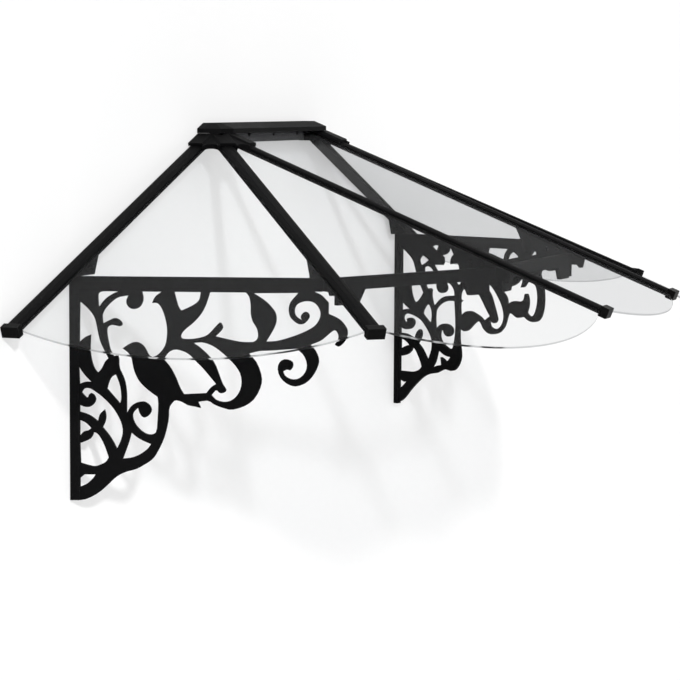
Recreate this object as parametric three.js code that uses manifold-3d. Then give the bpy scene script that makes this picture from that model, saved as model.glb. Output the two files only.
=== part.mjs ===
// Wall canopy over a door: half of a stretched octagon in plan, a short ridge against the wall,
// six rafters, five clear panels with rounded lower edges, a ring of beams and two scroll brackets.
// Millimetres. X runs along the wall, +Y goes into the wall, Z is up.
// The origin is on the wall, in the middle of the back face of the ridge rail.

import * as THREE from 'three';
import { mergeVertices } from 'three/addons/utils/BufferGeometryUtils.js';
import { ConvexGeometry } from 'three/addons/geometries/ConvexGeometry.js';
import Module from 'manifold-3d';

const wasm = await Module();
wasm.setup();

// Driving dimensions: the whole roof
const ridgeLength = 400;        // between the two points where three rafters meet
const rafterRun = 690;          // in plan, from such a point to the far face of an end cap
const pitch = THREE.MathUtils.degToRad(22);
const rafterStep = Math.PI / 4; // angle between neighbouring rafters in plan
const clearance = 0.3;          // between pieces that bear on each other

// Driving dimensions: rafters, their end caps and the panels
const rafterWidth = 24;
const rafterBaseDepth = 4;      // metal under the panel
const spineWidth = 6;           // rib of the base that stands between two panels
const spineRise = 1.6;          // rib above the top face of a panel
const coverCrown = 4.4;         // top of the cover above the top face of a panel
const coverEdge = 2.6;          // the same at the two long edges of the cover
const coverBand = 8.4;          // flat band along the middle of the cover
const coverGroove = 0.9;        // width and depth of the groove beside that band
const edgeBreak = 1;            // small bevel on the long edges of a rafter
const endCapWidth = 28;
const endCapHeight = 17;
const endCapLength = 14;
const endCapBevel = 1.5;
const panelThickness = 3;
const scallopRadius = 416;      // lower edge of every panel
const frontPanelHead = 8;       // in plan, from the ridge line to the front panel
const cornerPanelGap = 2;       // from the corner of a hub to the corner panel below it

// Driving dimensions: ridge
const railHeight = 27;
const railDepth = 10;
const railRise = 8;             // top of the rail above the meeting points
const hubSink = 2;              // top of the hub below the meeting point
const hubDrop = 20;             // bottom of the hub below it
const capTopRise = 15.6;        // flat top of the ridge cap above the meeting points
const capTopReach = 14;         // in plan, how far that flat reaches along a rafter
const capReach = 37;            // in plan, how far the whole cap reaches along a rafter
const capSkirt = 7.5;           // upright lip around the cap
const capWall = 3;              // thickness of the lip
const capPlate = 4;             // upright thickness of the sloping plates
const collarReach = 68;         // in plan, how far a collar reaches along a rafter
const collarWidth = 34;
const collarShoulder = 4;       // bevel along both top edges of an arm
const collarWebReach = 64;      // in plan, from the meeting point to the hollow edge of a web
const collarWebHeight = 9;      // top of a web above the panel

// Driving dimensions: ring, clips and brackets
const ringRadius = 500;         // in plan, from a meeting point to the corners of the ring
const ringGap = 2;              // from the corners of the ring up to the rafters above them
const ringHeight = 20;
const beamThickness = 8;
const beamEarInset = 20;        // from the end of a beam to its deeper part
const beamEarLength = 65;       // from the end of a beam to the far end of that part
const beamEarSlant = 14;
const beamEarDepth = 22;
const clipThickness = 6;
const clipHead = 80;            // from the ring corner up the rafter
const wallClipHead = 66;        // from the post up the rafter along the wall
const clipSlant = 17;           // how much shorter the clip is at the level of the ring's top
const clipToeStart = 12;        // from the ring corner out to where the deeper toe begins
const clipToeEnd = 26;          // from the ring corner out to the tip of the clip
const clipToeDepth = 5;         // toe below the ring
const clipToeSlant = 4;         // how far the slanted ends of the toe run
const wallClipToe = 10;         // from the post out to the end of a wall clip
const postInset = 21;           // how much nearer the posts stand than the ring's corners
const postHeight = 340;
const postWidth = 12;
const frameThickness = 10;      // post and top bar of a bracket
const scrollThickness = 7;      // scroll work inside that frame

// Heights and lengths that follow
const apexZ = railHeight / 2 - railRise;
const ridgeY = -rafterWidth / 2;
const slope = Math.tan(pitch);
const halfWidth = rafterWidth / 2;
const panelTop = panelThickness / 2;
const panelSeat = panelTop + clearance;
const spineTop = panelTop + spineRise;
const baseBottom = -(panelSeat + rafterBaseDepth);
const ringTopZ = underRafter(ringRadius) - ringGap;
const postRun = ringRadius - postInset;
const rafterEndRun = rafterRun - endCapLength;

// Where the lower edge of a rafter's head lies, just clear of its neighbour, and the hub there
const headRun = (halfWidth + clearance) / Math.tan(rafterStep / 2);
const rafterStart = headRun - baseBottom * Math.sin(pitch);
const hubFace = headRun - clearance;
const hubHalf = hubFace * Math.tan(rafterStep / 2);
const tool = 60;                // how far cutting shapes reach past what they cut
const scallopSteps = 28;        // straight pieces in the lower edge of a panel
const webSteps = 10;            // the same in the hollow edge of a web

// Height just under a rafter, at a distance in plan from its meeting point
function underRafter(run) {
  return apexZ - slope * run + (baseBottom - clearance) / Math.cos(pitch);
}

// Materials
const blackMetal = { color: 0x17181a, roughness: 0.45, metalness: 0.6 };
const blackPlastic = { color: 0x141415, roughness: 0.55, metalness: 0.0 };
const clearSheet = {
  color: 0xe9edef, roughness: 0.08, metalness: 0.0, transparent: true, opacity: 0.3,
};

const canopy = new THREE.Group();
canopy.name = 'door_canopy';

function addPiece(name, geometry, finish, matrix) {
  const mesh = new THREE.Mesh(geometry, new THREE.MeshStandardMaterial(finish));
  mesh.name = name;
  if (matrix) {
    mesh.applyMatrix4(matrix);
  }
  canopy.add(mesh);
  return mesh;
}

// Shapes and solids

function polygon(points) {
  return new THREE.Shape(points.map(([x, y]) => new THREE.Vector2(x, y)));
}

function extrude(shape, depth, options = {}) {
  return new THREE.ExtrudeGeometry(shape, { depth, bevelEnabled: false, ...options });
}

// The same, but with the thickness shared out on both sides of the drawing plane.
function slab(shape, thickness, curveSegments = 1) {
  return extrude(shape, thickness, { curveSegments }).translate(0, 0, -thickness / 2);
}

function toSolid(geometry) {
  const bare = geometry.clone();
  bare.deleteAttribute('normal');
  bare.deleteAttribute('uv');
  const merged = mergeVertices(bare, 1e-4);
  return new wasm.Manifold(new wasm.Mesh({
    numProp: 3,
    vertProperties: new Float32Array(merged.attributes.position.array),
    triVerts: new Uint32Array(merged.index.array),
  }));
}

function toGeometry(solid) {
  const mesh = solid.getMesh();
  const geometry = new THREE.BufferGeometry();
  geometry.setAttribute('position', new THREE.BufferAttribute(mesh.vertProperties, 3));
  geometry.setIndex(new THREE.BufferAttribute(mesh.triVerts, 1));
  geometry.computeVertexNormals();
  return geometry;
}

function box(minX, maxX, minY, maxY, minZ, maxZ) {
  const geometry = new THREE.BoxGeometry(maxX - minX, maxY - minY, maxZ - minZ);
  return geometry.translate((minX + maxX) / 2, (minY + maxY) / 2, (minZ + maxZ) / 2);
}

function cut(solid, geometries) {
  return geometries.reduce((rest, geometry) => rest.subtract(toSolid(geometry)), solid);
}

const wallSide = box(-rafterRun * 2, rafterRun * 2, 0, tool, -rafterRun, rafterRun);

// Rafters: where they start, which way they run, and the frame that their sections are drawn in

const rafterPlan = [
  { name: 'left_wall', apexX: -ridgeLength / 2, steps: 4 },
  { name: 'left_diagonal', apexX: -ridgeLength / 2, steps: 5 },
  { name: 'left_front', apexX: -ridgeLength / 2, steps: 6 },
  { name: 'right_front', apexX: ridgeLength / 2, steps: 6 },
  { name: 'right_diagonal', apexX: ridgeLength / 2, steps: 7 },
  { name: 'right_wall', apexX: ridgeLength / 2, steps: 8 },
];

function makeRafterFrame({ name, apexX, steps }) {
  const angle = steps * rafterStep;
  const plan = new THREE.Vector3(Math.cos(angle), Math.sin(angle), 0);
  const across = new THREE.Vector3(-plan.y, plan.x, 0);
  const along = plan.clone().multiplyScalar(Math.cos(pitch)).setZ(-Math.sin(pitch));
  const normal = new THREE.Vector3().crossVectors(along, across);
  const apex = new THREE.Vector3(apexX, ridgeY, apexZ);
  return { name, angle, plan, across, along, normal, apex };
}

const rafters = rafterPlan.map(makeRafterFrame);

// A point in plan at a distance from the meeting point, with a height of its own.
function planPoint(rafter, run, z) {
  return new THREE.Vector3(
    rafter.apex.x + rafter.plan.x * run,
    rafter.apex.y + rafter.plan.y * run,
    z,
  );
}

function onRafter(rafter, run) {
  return planPoint(rafter, run, apexZ - slope * run);
}

// Section drawn across the rafter, pushed along it: matrix for a section that starts at a run.
function sectionMatrix(rafter, run) {
  const matrix = new THREE.Matrix4().makeBasis(rafter.across, rafter.normal, rafter.along);
  return matrix.setPosition(onRafter(rafter, run));
}

function alongLength(fromRun, toRun) {
  return (toRun - fromRun) / Math.cos(pitch);
}

// Roof faces: each lies between two neighbouring rafters

const facePlan = [
  { name: 'left_side', first: 0 },
  { name: 'left_front', first: 1 },
  { name: 'front', first: 2 },
  { name: 'right_front', first: 3 },
  { name: 'right_side', first: 4 },
];

// Axes of a face: x level along the eaves, y up the slope, z square to it. Its origin is on the
// ridge, or at the meeting point of its two rafters.
function makeFaceFrame({ name, first }) {
  const start = rafters[first];
  const end = rafters[first + 1];
  const startEave = onRafter(start, rafterEndRun);
  const endEave = onRafter(end, rafterEndRun);
  const origin = new THREE.Vector3().addVectors(start.apex, end.apex).multiplyScalar(0.5);
  const middle = new THREE.Vector3().addVectors(startEave, endEave).multiplyScalar(0.5);
  const level = new THREE.Vector3().subVectors(endEave, startEave).normalize();
  const up = new THREE.Vector3().subVectors(origin, middle);
  const slant = up.length();
  up.normalize();
  const normal = new THREE.Vector3().crossVectors(level, up);
  const headHalf = start.apex.distanceTo(end.apex) / 2;
  const eaveHalf = startEave.distanceTo(endEave) / 2;
  const matrix = new THREE.Matrix4().makeBasis(level, up, normal).setPosition(origin);
  const spread = (eaveHalf - headHalf) / slant;
  return { name, start, end, normal, headHalf, slant, spread, matrix };
}

const faces = facePlan.map(makeFaceFrame);

// How steeply a face falls away sideways from a rafter, as a slope in that rafter's section.
function sideFall(rafter, face) {
  return Math.abs(rafter.across.dot(face.normal) / rafter.normal.dot(face.normal));
}

// The two sides of a rafter: the face that a panel brings there, or none beside the wall.
function rafterSides(index) {
  const before = faces[index - 1];
  const after = faces[index];
  return {
    left: before ? { panel: true, fall: sideFall(rafters[index], before) } : { panel: false },
    right: after ? { panel: true, fall: sideFall(rafters[index], after) } : { panel: false },
  };
}

// Rafter base: a flat bar with a rib in the middle; the panels rest on the two wings beside it
function baseHalf(side) {
  const rib = spineWidth / 2;
  if (!side.panel) {
    return [[halfWidth, panelTop], [rib, panelTop], [rib, spineTop]];
  }
  const seatAt = (u) => -panelSeat - side.fall * u;
  return [[halfWidth, seatAt(halfWidth)], [rib, seatAt(rib)], [rib, spineTop]];
}

function mirrorHalf(points) {
  return points.map(([u, w]) => [-u, w]).reverse();
}

function baseSection({ left, right }) {
  const foot = [[halfWidth - edgeBreak, baseBottom], [halfWidth, baseBottom + edgeBreak]];
  return polygon([
    ...foot, ...baseHalf(right),
    ...mirrorHalf(baseHalf(left)), ...mirrorHalf(foot),
  ]);
}

// Rafter cover: holds the panels down and shuts over the rib; two grooves run along its top
function coverUnderHalf(side) {
  const rib = spineWidth / 2 + clearance;
  const fall = side.panel ? side.fall : 0;
  const underAt = (u) => panelSeat - fall * u;
  return [[rib, spineTop + clearance], [rib, underAt(rib)], [halfWidth, underAt(halfWidth)]];
}

function coverTopHalf() {
  const band = coverBand / 2;
  const crown = panelTop + coverCrown;
  const edge = panelTop + coverEdge;
  const groove = band + coverGroove;
  return [
    [halfWidth, edge - edgeBreak], [halfWidth - edgeBreak, edge],
    [groove, crown], [groove, crown - coverGroove],
    [band, crown - coverGroove], [band, crown],
  ];
}

function coverSection({ left, right }) {
  return polygon([
    ...coverUnderHalf(right), ...coverTopHalf(),
    ...mirrorHalf(coverTopHalf()), ...mirrorHalf(coverUnderHalf(left)),
  ]);
}

const rafterLength = alongLength(rafterStart, rafterEndRun - clearance);

rafters.forEach((rafter, index) => {
  const sides = rafterSides(index);
  const matrix = sectionMatrix(rafter, rafterStart);
  addPiece(`rafter_base_${rafter.name}`, extrude(baseSection(sides), rafterLength),
    blackMetal, matrix);
  addPiece(`rafter_cover_${rafter.name}`, extrude(coverSection(sides), rafterLength),
    blackMetal, matrix);
});

// End caps: a bevelled block that shuts the low end of each rafter, flush with the wall there
const capInset = (endCapWidth - rafterWidth) / 2;

function endCapShift(rafter) {
  return { left_wall: capInset, right_wall: -capInset }[rafter.name] ?? 0;
}

function endCapShape(rafter) {
  const half = endCapWidth / 2 - endCapBevel;
  const rise = endCapHeight / 2 - endCapBevel;
  const shift = endCapShift(rafter);
  return polygon([
    [shift - half, -rise], [shift + half, -rise], [shift + half, rise], [shift - half, rise],
  ]);
}

rafters.forEach((rafter) => {
  const length = alongLength(rafterEndRun, rafterRun) - 2 * endCapBevel;
  const geometry = extrude(endCapShape(rafter), length, {
    bevelEnabled: true, bevelSize: endCapBevel, bevelThickness: endCapBevel, bevelSegments: 2,
  }).translate(0, 0, endCapBevel);
  addPiece(`end_cap_${rafter.name}`, geometry, blackPlastic, sectionMatrix(rafter, rafterEndRun));
});

// Room that an end cap takes out of the corners of the panels beside it
function endCapRoom(rafter) {
  const half = endCapWidth / 2 + clearance;
  const shift = endCapShift(rafter);
  const length = alongLength(rafterEndRun, rafterRun) + tool;
  return box(shift - half, shift + half, -tool / 2, tool / 2, -clearance, length)
    .applyMatrix4(sectionMatrix(rafter, rafterEndRun));
}

// Hubs: half octagons at both ends of the ridge; the heads of three rafters butt against each
function hubOutline(side, grow) {
  const face = hubFace + grow;
  const half = hubHalf + grow;
  return polygon([
    [side * half, -ridgeY], [side * half, -face], [-side * half, -face],
    [-side * face, -half], [-side * face, -ridgeY],
  ]);
}

function hubSolid(side, grow) {
  const bottom = apexZ - hubDrop - grow;
  return extrude(hubOutline(side, grow), hubDrop - hubSink + 2 * grow)
    .translate(side * -ridgeLength / 2, ridgeY, bottom);
}

// side is 1 where the ridge lies towards +X from the hub, and -1 where it lies towards -X.
const ends = [
  { name: 'left', side: 1, rafters: rafters.slice(0, 3), panels: faces.slice(0, 3) },
  { name: 'right', side: -1, rafters: rafters.slice(3), panels: faces.slice(2) },
];

ends.forEach(({ name, side }) => {
  addPiece(`ridge_hub_${name}`, hubSolid(side, 0), blackMetal);
});

// Ridge rail: a flat bar on the wall between the two hubs
const railHalf = ridgeLength / 2 - hubHalf - clearance;
addPiece('ridge_rail',
  box(-railHalf, railHalf, -railDepth, 0, -railHeight / 2, railHeight / 2), blackMetal);

// Panels: flat sheets, held between the ribs of two rafters, with an arc as their lower edge
function panelOutline(face) {
  const isFront = face.headHalf > 0;
  const cornerHead = hubFace / Math.cos(rafterStep / 2) + cornerPanelGap;
  const head = (isFront ? frontPanelHead / Math.cos(pitch)
    : cornerHead * face.slant / (rafterEndRun * Math.cos(rafterStep / 2)));
  const sideGap = (spineWidth / 2 + clearance) * Math.hypot(1, face.spread);
  const halfAt = (down) => face.headHalf + face.spread * down - sideGap;
  const low = halfAt(face.slant);
  const centre = -face.slant + Math.sqrt(scallopRadius ** 2 - low ** 2);
  const end = Math.atan2(-face.slant - centre, low);
  const shape = new THREE.Shape();
  shape.moveTo(halfAt(head), -head);
  shape.lineTo(-halfAt(head), -head);
  shape.lineTo(-low, -face.slant);
  shape.absarc(0, centre, scallopRadius, -Math.PI - end, end, false);
  return shape;
}

faces.forEach((face) => {
  const sheet = slab(panelOutline(face), panelThickness, scallopSteps)
    .applyMatrix4(face.matrix);
  const rooms = [endCapRoom(face.start), endCapRoom(face.end)];
  if (face.headHalf > 0) {
    rooms.push(...ends.map(({ side }) => hubSolid(side, clearance)));
  }
  addPiece(`panel_${face.name}`, toGeometry(cut(toSolid(sheet), rooms)), clearSheet);
});

// Ridge cap: a shallow hipped shell over the whole ridge, open towards the wall and below
const capSkirtTop = apexZ + capTopRise - slope * (capReach - capTopReach);
const capSkirtBottom = capSkirtTop - capSkirt;

function capHull(reach, levels, wallY) {
  const points = [];
  levels.forEach(([run, z]) => {
    rafters.forEach((rafter) => points.push(planPoint(rafter, Math.min(run, reach), z)));
    [rafters[0], rafters[5]].forEach((rafter) => {
      points.push(planPoint(rafter, Math.min(run, reach), z).setY(wallY));
    });
  });
  return new ConvexGeometry(points);
}

const capOuter = capHull(capReach,
  [[capTopReach, apexZ + capTopRise], [capReach, capSkirtTop], [capReach, capSkirtBottom]], 0);
const capInner = capHull(capReach - capWall, [
  [capTopReach, apexZ + capTopRise - capPlate],
  [capReach - capWall, capSkirtTop - capPlate + slope * capWall],
  [capReach - capWall, capSkirtBottom - tool],
], tool);
addPiece('ridge_cap', toGeometry(toSolid(capOuter).subtract(toSolid(capInner))), blackMetal);

// Collars: three saddles over the heads of the rafters, joined by webs with a hollow edge
const collarHip = capSkirtBottom + slope * (capReach - capWall) - clearance;
const collarTop = (collarHip - apexZ) * Math.cos(pitch);
const coverRoom = panelTop + coverCrown + clearance;

function collarArm(rafter) {
  const half = collarWidth / 2;
  const section = polygon([
    [-half, baseBottom], [half, baseBottom], [half, collarTop - collarShoulder],
    [half - collarShoulder, collarTop], [-half + collarShoulder, collarTop],
    [-half, collarTop - collarShoulder],
  ]);
  return extrude(section, alongLength(0, collarReach)).applyMatrix4(sectionMatrix(rafter, 0));
}

// Web: fills the corner between two arms and ends in an arc that runs tangent into both
function collarWeb(face) {
  const half = Math.atan(face.spread);
  const armHalf = collarWidth / 2 - collarShoulder / 2;
  const planToFace = face.slant / (rafterEndRun * Math.cos(rafterStep / 2));
  const reach = collarWebReach * planToFace;
  const radius = (reach * Math.sin(half) - armHalf) / (1 - Math.sin(half));
  const centre = -(reach + radius);
  const shape = new THREE.Shape();
  shape.moveTo(0, 0);
  shape.lineTo(-radius * Math.cos(half), centre + radius * Math.sin(half));
  shape.absarc(0, centre, radius, Math.PI - half, half, true);
  shape.closePath();
  const height = panelTop + collarWebHeight;
  return extrude(shape, height, { curveSegments: webSteps }).applyMatrix4(face.matrix);
}

// Room for a panel and all that is under it, between its two rafters
function panelRoom(face) {
  const halfAt = (down) => face.headHalf + face.spread * down;
  const near = hubFace / 2;
  const far = collarReach * 2;
  const shape = polygon([
    [halfAt(near), -near], [-halfAt(near), -near], [-halfAt(far), -far], [halfAt(far), -far],
  ]);
  return extrude(shape, tool + panelSeat).translate(0, 0, -tool).applyMatrix4(face.matrix);
}

function rafterRoom(rafter) {
  const half = halfWidth + clearance;
  const length = alongLength(rafterStart, collarReach) + tool;
  return box(-half, half, -tool, coverRoom, -clearance, length)
    .applyMatrix4(sectionMatrix(rafter, rafterStart));
}

// Room for the ridge cap, which rests on the collars with its lip
const capRoomReach = capReach + clearance;
const capRoom = capHull(capRoomReach,
  [[capRoomReach, capSkirtBottom - clearance], [capRoomReach, capSkirtBottom + tool]], tool);

function buildCollar(end) {
  const corners = end.panels.filter((face) => face.headHalf === 0);
  const parts = [...end.rafters.map(collarArm), ...corners.map(collarWeb)].map(toSolid);
  const whole = parts.reduce((sum, part) => sum.add(part));
  const middle = end.side * -ridgeLength / 2;
  const hubWide = hubFace + clearance;
  const hubRoom = box(middle - hubWide, middle + hubWide,
    ridgeY - hubWide, tool, apexZ - tool, apexZ + tool);
  return cut(whole, [
    wallSide, hubRoom, capRoom, ...end.rafters.map(rafterRoom), ...end.panels.map(panelRoom),
  ]);
}

ends.forEach((end) => {
  addPiece(`ridge_collar_${end.name}`, toGeometry(buildCollar(end)), blackMetal);
});

// Rafter clips: upright plates under the rafters that carry the corners of the ring. The two on
// the wall stand on the top bars of the brackets.
function wallClipOutline() {
  const head = postRun - wallClipHead;
  const toe = postRun + wallClipToe;
  const sole = ringTopZ + clearance;
  return [
    [head, underRafter(head)], [head + clipSlant, sole], [toe, sole], [toe, underRafter(toe)],
  ];
}

function clipOutline() {
  const head = ringRadius - clipHead;
  const neck = head + clipSlant;
  const toe = ringRadius + clipToeStart;
  const tip = ringRadius + clipToeEnd;
  const ringBottom = ringTopZ - ringHeight;
  const toeBottom = ringBottom - clipToeDepth;
  return [
    [head, underRafter(head)], [neck, ringTopZ], [neck + clipToeSlant, ringBottom],
    [toe, ringBottom], [toe + clipToeSlant, toeBottom], [tip - clipToeSlant, toeBottom],
    [tip, underRafter(tip)],
  ];
}

function clipMatrix(rafter) {
  const up = new THREE.Vector3(0, 0, 1);
  const side = new THREE.Vector3().crossVectors(rafter.plan, up);
  const matrix = new THREE.Matrix4().makeBasis(rafter.plan, up, side);
  return matrix.setPosition(rafter.apex.x, rafter.apex.y, 0);
}

// Room for the clip at a corner of the ring, wider and deeper than the clip by the clearance
function clipRoom(rafter) {
  const outline = polygon(clipOutline());
  return [0, -clearance].map((drop) => slab(outline, clipThickness + 2 * clearance)
    .translate(0, drop, 0).applyMatrix4(clipMatrix(rafter)));
}

rafters.forEach((rafter, index) => {
  const isWall = index === 0 || index === rafters.length - 1;
  const outline = polygon(isWall ? wallClipOutline() : clipOutline());
  addPiece(`rafter_clip_${rafter.name}`, slab(outline, clipThickness), blackMetal,
    clipMatrix(rafter));
});

// Upright plates of the ring are drawn in elevation: x along the ring, y up from the ring's top
function elevationMatrix(from, to) {
  const direction = new THREE.Vector3().subVectors(to, from).setZ(0).normalize();
  const up = new THREE.Vector3(0, 0, 1);
  const side = new THREE.Vector3().crossVectors(direction, up);
  return new THREE.Matrix4().makeBasis(direction, up, side).setPosition(from.x, from.y, ringTopZ);
}

// Length lost at a corner, so that a square end of a plate stays clear of the clip there
function cornerSetback(rafter, from, to, thickness) {
  const direction = new THREE.Vector3().subVectors(to, from).setZ(0).normalize();
  const sine = Math.abs(direction.x * rafter.plan.y - direction.y * rafter.plan.x);
  const cosine = Math.abs(direction.dot(rafter.plan));
  return (thickness / 2 * cosine + clipThickness / 2 + clearance) / sine;
}

// Beams: plain bars with a deeper ear at both ends
function beamOutline(start, end) {
  const low = -ringHeight - beamEarDepth;
  const heel = beamEarInset;
  const foot = beamEarLength;
  const head = beamEarLength + beamEarSlant;
  return polygon([
    [start, 0], [start, -ringHeight], [heel, -ringHeight], [heel, low],
    [foot, low], [head, -ringHeight],
    [end + start - head, -ringHeight], [end + start - foot, low],
    [end + start - heel, low], [end + start - heel, -ringHeight], [end, -ringHeight], [end, 0],
  ]);
}

[['left', 1], ['front', 2], ['right', 3]].forEach(([name, first]) => {
  const from = planPoint(rafters[first], ringRadius, 0);
  const to = planPoint(rafters[first + 1], ringRadius, 0);
  const length = from.distanceTo(to);
  const setback = cornerSetback(rafters[first], from, to, beamThickness);
  addPiece(`ring_beam_${name}`, slab(beamOutline(setback, length - setback), beamThickness),
    blackMetal, elevationMatrix(from, to));
});

// Scroll brackets: post, top bar and scroll work in one piece.
// Each scroll is drawn on a sheet with its corner where the wall meets the top of the ring:
// x away from the wall, y up. Each row of a loop is a curve through its points, or a straight
// line when it has one point, and starts where the row before it ended.
const scrollSheetWidth = 379;   // left drawing, from the wall to the ring corner
const bootSheetWidth = 387;     // right drawing, from the wall to the ring corner
const sheetHeight = 336;        // drawn from the top of the ring to the foot of the post
const stepsPerPoint = 2;

// The left bracket's scroll: a slanting rim, open leaves and one hanging curl.
const scrollEdge = [
  [[6, -332]],
  [[9, -336], [23, -334], [40, -325], [54, -313], [63, -304], [72, -297], [83, -292],
    [97, -288], [108, -282], [120, -274], [127, -265], [136, -247], [141, -232], [145, -213],
    [146, -196], [151, -188], [156, -184], [165, -186], [174, -191], [185, -193]],
  [[193, -195]],
  [[189, -186]],
  [[204, -184], [214, -190], [228, -195], [240, -197], [259, -191], [273, -180], [282, -162],
    [283, -147], [276, -127], [264, -113]],
  [[280, -109], [297, -108], [335, -105]],
  [[345, -114], [350, -127], [348, -139], [339, -149], [328, -151], [318, -146], [315, -139]],
  [[321, -136], [326, -137], [330, -131], [328, -124], [318, -121], [310, -125], [307, -135],
    [311, -148], [322, -158], [335, -161], [350, -155], [360, -144], [366, -132], [368, -121],
    [363, -108], [355, -99]],
  [[370, -93], [380, -85], [387, -79], [392, -77], [396, -83], [396, -90], [391, -98]],
  [[397, -101], [404, -96], [409, -88], [410, -77], [405, -68], [397, -60], [382, -53]],
  [[382, -36]],
  [[378, -32], [371, -25], [360, -20]],
  [[356, -12]],
  [[6, -8]],
];

const scrollHoles = [
  [[[14, -37]],
    [[24, -46], [32, -55], [37, -65], [40, -80], [44, -97], [51, -112], [56, -122]],
    [[51, -127], [46, -137], [40, -144]],
    [[35, -137], [31, -125], [29, -109], [30, -87]],
    [[21, -91], [13, -98]]],
  [[[42, -46]],
    [[41, -34], [42, -25], [49, -22]],
    [[71, -22]],
    [[62, -26], [51, -34], [42, -46]]],
  [[[47, -58]],
    [[51, -49], [60, -39], [71, -31], [86, -28]],
    [[83, -35], [84, -42], [89, -47], [96, -48], [103, -45], [107, -38], [108, -31], [106, -22]],
    [[135, -22]],
    [[128, -27], [124, -32], [121, -39]],
    [[129, -39], [135, -46], [140, -59], [143, -74], [143, -88], [141, -100], [136, -109],
      [128, -117], [121, -120]],
    [[116, -117], [112, -109], [107, -102], [100, -98], [93, -98], [86, -101], [77, -107]],
    [[84, -112], [90, -120], [92, -130], [95, -142], [102, -156], [114, -168], [129, -179]],
    [[130, -190], [129, -211], [127, -231], [120, -236], [112, -235], [104, -230], [96, -221],
      [92, -211], [93, -203], [100, -196]],
    [[102, -203], [106, -209], [111, -210], [117, -206], [120, -199], [117, -192], [110, -187],
      [103, -187], [96, -189], [89, -194], [83, -204]],
    [[83, -190], [83, -175], [81, -159], [77, -147], [72, -136], [71, -119], [64, -119]],
    [[59, -110], [56, -97], [54, -84], [55, -76], [62, -72], [73, -74], [77, -71], [73, -65],
      [65, -62], [56, -66], [48, -70]]],
  [[[67, -146]],
    [[60, -151], [56, -160], [54, -168]],
    [[61, -176], [73, -190]],
    [[75, -180], [73, -162], [67, -146]]],
  [[[12, -134]],
    [[16, -141], [23, -150], [31, -158]],
    [[21, -158], [13, -161]]],
  [[[16, -174]],
    [[20, -168], [27, -167], [35, -171], [47, -180], [60, -193], [69, -206], [75, -219],
      [77, -232], [74, -245], [68, -258]],
    [[63, -248], [56, -237], [47, -226]],
    [[51, -217], [52, -208], [50, -199]],
    [[43, -206], [40, -217]],
    [[31, -210], [23, -206], [13, -203]],
    [[13, -192]],
    [[20, -195], [28, -195], [34, -191], [37, -184], [34, -177], [28, -175], [24, -182],
      [16, -174]]],
  [[[13, -215]],
    [[22, -219], [30, -227]],
    [[25, -231], [18, -233], [13, -239]]],
  [[[13, -250]],
    [[21, -247], [30, -242], [34, -233]],
    [[40, -236], [47, -247], [52, -259], [56, -271]],
    [[51, -278], [44, -282], [35, -285], [24, -283], [14, -280]]],
  [[[13, -303]],
    [[20, -297]],
    [[36, -297]],
    [[31, -304], [22, -312], [13, -316]]],
  [[[90, -233]],
    [[97, -239], [107, -245], [119, -250]],
    [[114, -257], [104, -265], [91, -271], [77, -273]],
    [[81, -262], [86, -248], [90, -233]]],
  [[[154, -22]],
    [[193, -22]],
    [[191, -33], [184, -40], [173, -46], [164, -50]],
    [[160, -44], [157, -34], [154, -22]]],
  [[[207, -22]],
    [[260, -22]],
    [[265, -29], [267, -41], [267, -53], [270, -65], [276, -75], [278, -85], [276, -92],
      [270, -96]],
    [[254, -96], [237, -93], [215, -88]],
    [[223, -80], [226, -74], [222, -67], [216, -72], [208, -81], [199, -88], [182, -92],
      [166, -92], [164, -86], [170, -78], [181, -69], [192, -57], [200, -43], [207, -22]]],
  [[[271, -23]],
    [[337, -22]],
    [[330, -30], [325, -37], [323, -47], [325, -57], [330, -63], [337, -68], [345, -68],
      [351, -63], [354, -57], [352, -52], [347, -50], [342, -54], [341, -59], [344, -63]],
    [[338, -60], [333, -55], [332, -47], [335, -40], [341, -36], [350, -34], [360, -36],
      [367, -43], [370, -52], [368, -61], [362, -70], [352, -77], [337, -84], [320, -90],
      [305, -94], [290, -95]],
    [[300, -78], [305, -65], [304, -53], [298, -44], [288, -34], [271, -23]]],
  [[[138, -123]],
    [[145, -113], [155, -108], [166, -110], [176, -115], [185, -124], [196, -135], [207, -148],
      [216, -159]],
    [[208, -164], [201, -173]],
    [[168, -175]],
    [[162, -165], [156, -150], [148, -135], [138, -123]]],
  [[[182, -98]],
    [[196, -97], [211, -102], [225, -112], [238, -124], [248, -136], [253, -148], [253, -162],
      [248, -174], [239, -183], [228, -186], [216, -183], [209, -176]],
    [[216, -168], [221, -172], [227, -172], [231, -168], [226, -160], [222, -150], [214, -129],
      [204, -116], [192, -105], [182, -98]]],
];

// The right bracket's scroll: a broad boot at the foot, an upright rim and two hanging leaves.
const bootEdge = [
  [[6, -332]],
  [[12, -333], [21, -329], [31, -320], [40, -310], [50, -300], [60, -291], [71, -282],
    [83, -275], [96, -271], [109, -269], [120, -264], [131, -260], [140, -261], [148, -262],
    [157, -258], [165, -248], [170, -234], [169, -218], [166, -200], [166, -178]],
  [[172, -180], [179, -183], [188, -180], [197, -172], [205, -165], [214, -161], [220, -165],
    [226, -175], [238, -183], [252, -184], [266, -179], [277, -167], [282, -153], [286, -143],
    [292, -141], [300, -145], [308, -149], [317, -148], [324, -146], [333, -152],
    [345, -155], [356, -153], [364, -145], [369, -131], [371, -113], [370, -94]],
  [[366, -78], [361, -65], [364, -57], [371, -54]],
  [[383, -57], [394, -55], [400, -51]],
  [[392, -47], [382, -46]],
  [[382, -38]],
  [[378, -33], [371, -26], [360, -21]],
  [[356, -12]],
  [[6, -8]],
];

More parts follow.
